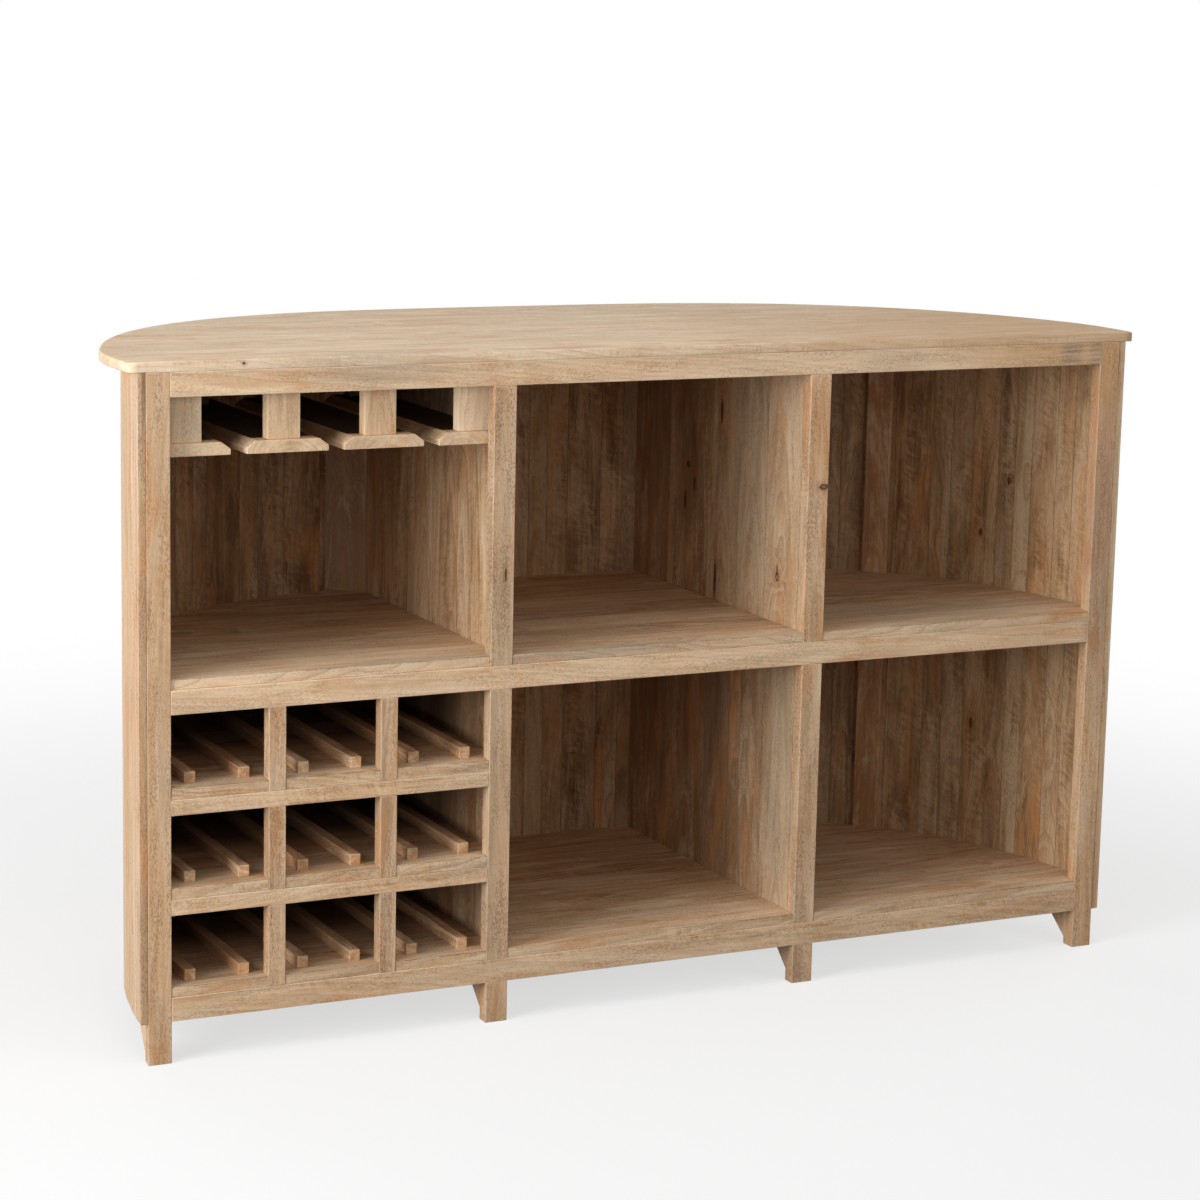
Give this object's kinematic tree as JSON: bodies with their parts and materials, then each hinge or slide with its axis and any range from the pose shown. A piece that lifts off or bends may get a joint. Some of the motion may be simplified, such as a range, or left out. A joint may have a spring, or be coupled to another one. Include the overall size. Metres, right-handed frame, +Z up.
{
  "type": "bar cabinet",
  "caption": "Curved solid-wood bar counter seen from its open service side, with shelves, a bottle rack and a stemware rack.",
  "frame": {"origin": "middle of the footprint on the floor", "axes": "+X along the counter to the right as seen from the service side, +Y from the flat service side towards the curved customer side, +Z up"},
  "size_m": [1.8, 0.68, 1.09],
  "materials": {
    "limed_top": "limed and waxed, matt",
    "limed_wall": "limed and waxed, matt",
    "limed_boards": "limed and waxed, matt",
    "limed_dividers": "limed and waxed, matt",
    "limed_inner_pieces": "limed and waxed, matt",
    "limed_frame": "limed and waxed, matt"
  },
  "bodies": {
    "root": {"bottle_battens_lower": "limed_inner_pieces", "bottle_battens_middle": "limed_inner_pieces", "bottle_battens_upper": "limed_inner_pieces", "bottom_board": "limed_boards", "bottom_rail": "limed_frame", "corner_strip": "limed_inner_pieces", "left_divider_lower": "limed_dividers", "left_divider_upper": "limed_dividers", "left_post": "limed_frame", "left_post_foot": "limed_frame", "left_rear_foot": "limed_frame", "left_stile_foot": "limed_frame", "left_stile_lower": "limed_frame", "left_stile_upper": "limed_frame", "middle_board_centre": "limed_boards", "middle_board_left": "limed_boards", "middle_board_right": "limed_boards", "middle_rail": "limed_frame", "rack_board_lower": "limed_boards", "rack_board_upper": "limed_boards", "rack_post_lower_left": "limed_frame", "rack_post_lower_right": "limed_frame", "rack_post_middle_left": "limed_frame", "rack_post_middle_right": "limed_frame", "rack_post_upper_left": "limed_frame", "rack_post_upper_right": "limed_frame", "rack_rail_lower": "limed_frame", "rack_rail_upper": "limed_frame", "right_divider_lower": "limed_dividers", "right_divider_upper": "limed_dividers", "right_post": "limed_frame", "right_post_foot": "limed_frame", "right_rear_foot": "limed_frame", "right_stile_foot": "limed_frame", "right_stile_lower": "limed_frame", "right_stile_upper": "limed_frame", "stemware_hangers_front": "limed_inner_pieces", "stemware_hangers_rear": "limed_inner_pieces", "stemware_slat_left": "limed_inner_pieces", "stemware_slat_middle_left": "limed_inner_pieces", "stemware_slat_middle_right": "limed_inner_pieces", "stemware_slat_right": "limed_inner_pieces", "top": "limed_top", "top_rail": "limed_frame", "wall_batten_lower": "limed_inner_pieces", "wall_batten_upper": "limed_inner_pieces", "wall_staves_01_to_03": "limed_wall", "wall_staves_04_to_06": "limed_wall", "wall_staves_07_to_09": "limed_wall", "wall_staves_10_to_12": "limed_wall", "wall_staves_13_to_15": "limed_wall", "wall_staves_16_to_18": "limed_wall", "wall_staves_19_to_21": "limed_wall", "wall_staves_22_to_24": "limed_wall", "wall_staves_25_to_27": "limed_wall", "wall_staves_28_to_30": "limed_wall", "wall_staves_31_to_33": "limed_wall", "wall_staves_34_to_36": "limed_wall"}
  },
  "joints": []
}
